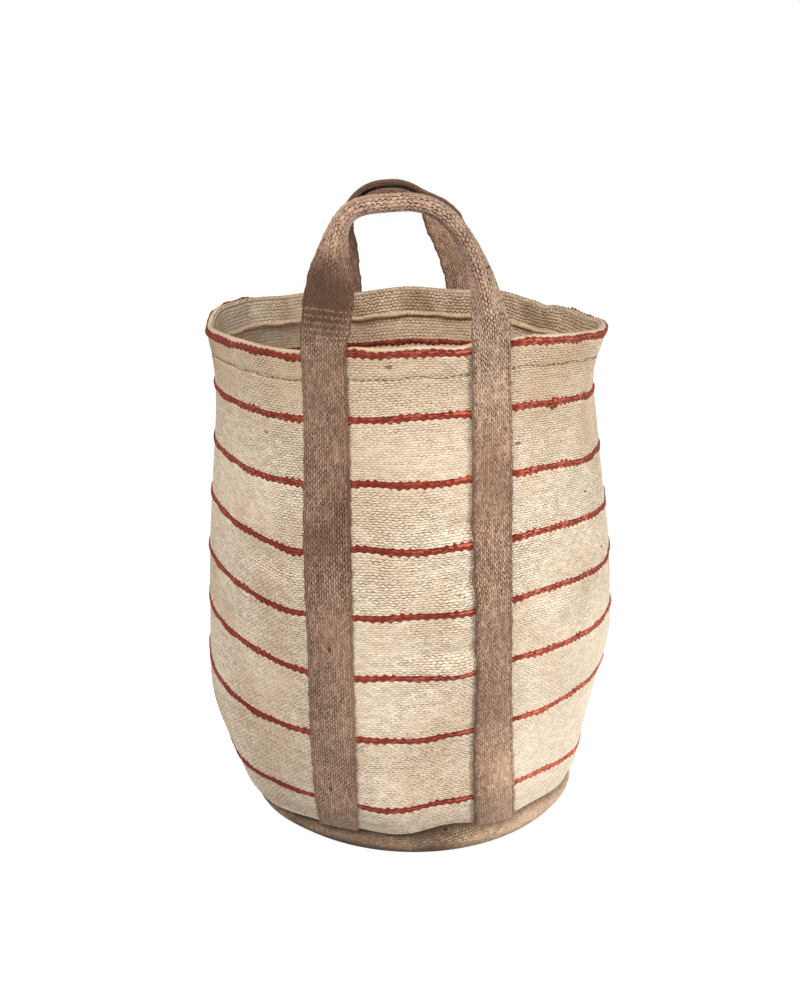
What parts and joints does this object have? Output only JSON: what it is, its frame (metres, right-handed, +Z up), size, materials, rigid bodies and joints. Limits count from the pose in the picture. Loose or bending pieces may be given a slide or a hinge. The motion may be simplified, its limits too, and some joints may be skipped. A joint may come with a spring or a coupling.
{
  "type": "storage bag",
  "caption": "Round upright woven jute storage bag with narrow stripes, a turned-up base and webbing handles that fold in over the mouth or out over the rim.",
  "frame": {"origin": "on the floor, on the base's underside under the middle of the rim", "axes": "+Z up along the bag's height, front handle towards -Y, +X to the right seen from the front"},
  "size_m": [0.3465, 0.3434, 0.5047],
  "materials": {
    "body_jute": "natural cream handwoven jute, weft-faced",
    "stripe_yarn": "dyed rust jute yarn, rope-like",
    "webbing": "taupe jute webbing with lengthwise ribs",
    "base_jute": "brown plain-woven jute"
  },
  "bodies": {
    "bag": {"base_panel": "base_jute", "body_panel": "body_jute", "base_seam_allowance": "base_jute", "side_seam_allowance": "body_jute", "rust_stripe_1": "stripe_yarn", "rust_stripe_2": "stripe_yarn", "rust_stripe_3": "stripe_yarn", "rust_stripe_4": "stripe_yarn", "rust_stripe_5": "stripe_yarn", "rust_stripe_6": "stripe_yarn", "rust_stripe_7": "stripe_yarn", "rust_stripe_8": "stripe_yarn", "front_strap_left": "webbing", "front_strap_right": "webbing", "rear_strap_left": "webbing", "rear_strap_right": "webbing"},
    "front_handle": {"front_handle": "webbing"},
    "rear_handle": {"rear_handle": "webbing"}
  },
  "joints": [
    {"name": "front_handle_fold", "type": "hinge", "parent": "bag", "child": "front_handle", "pos_m": [0, -0.15296, 0.4037], "axis": [0.9985, 0, 0.0556], "range_deg": [-90, 120]},
    {"name": "rear_handle_fold", "type": "hinge", "parent": "bag", "child": "rear_handle", "pos_m": [0, 0.15296, 0.4037], "axis": [-1, 0, -0.0065], "range_deg": [-90, 120]}
  ]
}
